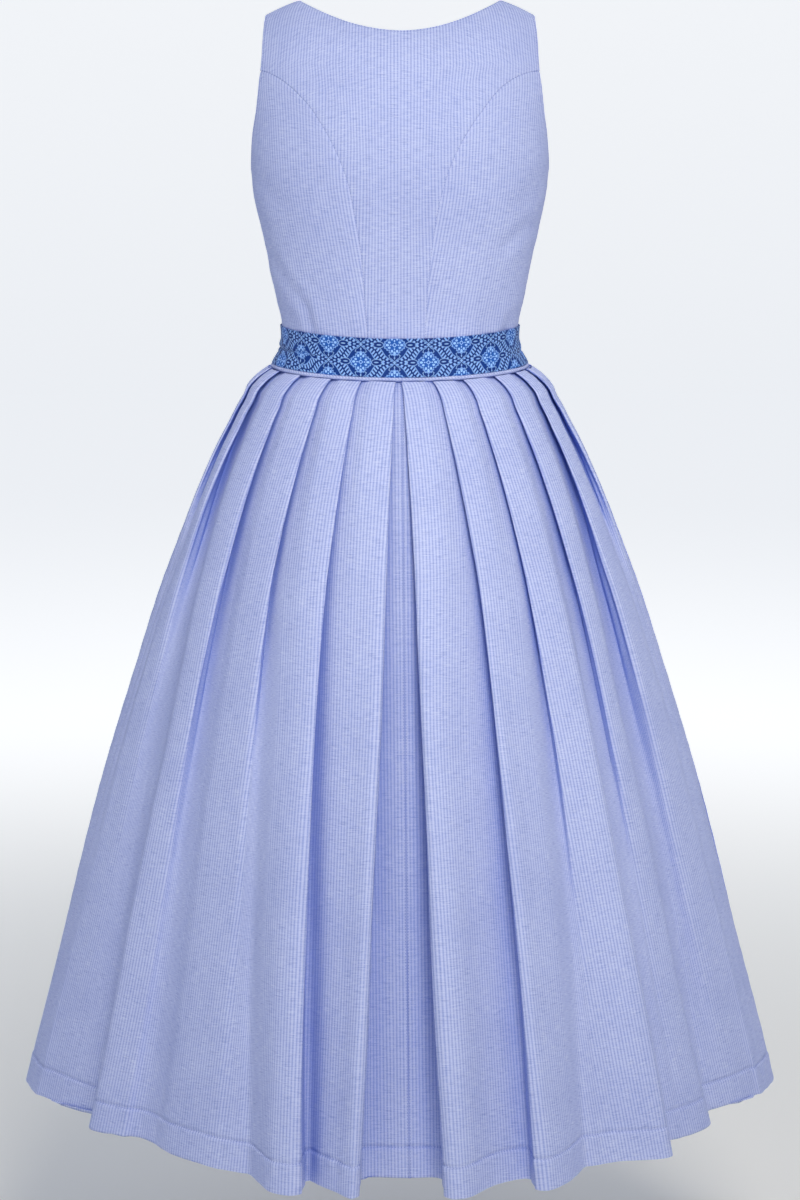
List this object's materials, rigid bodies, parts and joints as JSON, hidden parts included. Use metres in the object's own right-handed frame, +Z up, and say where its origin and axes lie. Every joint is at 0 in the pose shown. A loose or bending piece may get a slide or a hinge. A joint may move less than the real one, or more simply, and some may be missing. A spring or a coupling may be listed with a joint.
{
  "type": "dirndl",
  "caption": "Sleeveless midi dirndl: fitted bodice with curved seams, buttoned front, patterned ribbon belt and full pleated skirt, in its worn form.",
  "frame": {"origin": "midpoint between the shoulder straps, at the level of the shoulder line that holds the dress up", "axes": "+Z up, +Y towards the front of the wearer, +X towards the wearer's right, so the back faces -Y"},
  "size_m": [0.8012, 0.7338, 1.1446],
  "materials": {
    "chambray": "narrow-striped cotton chambray, matte",
    "ribbon": "woven jacquard ribbon, slight sheen",
    "button": "satin"
  },
  "bodies": {
    "root": {"bodice_back_centre": "chambray", "bodice_side_back_left": "chambray", "bodice_side_back_right": "chambray", "bodice_side_front_left": "chambray", "bodice_side_front_right": "chambray", "bodice_front_left": "chambray", "bodice_front_right": "chambray", "button_1": "button", "button_2": "button", "button_3": "button", "button_4": "button", "button_5": "button", "button_6": "button", "button_7": "button", "skirt_back_left": "chambray", "skirt_back_right": "chambray", "skirt_front_left": "chambray", "skirt_front_right": "chambray", "belt": "ribbon", "waist_piping": "chambray"}
  },
  "joints": []
}
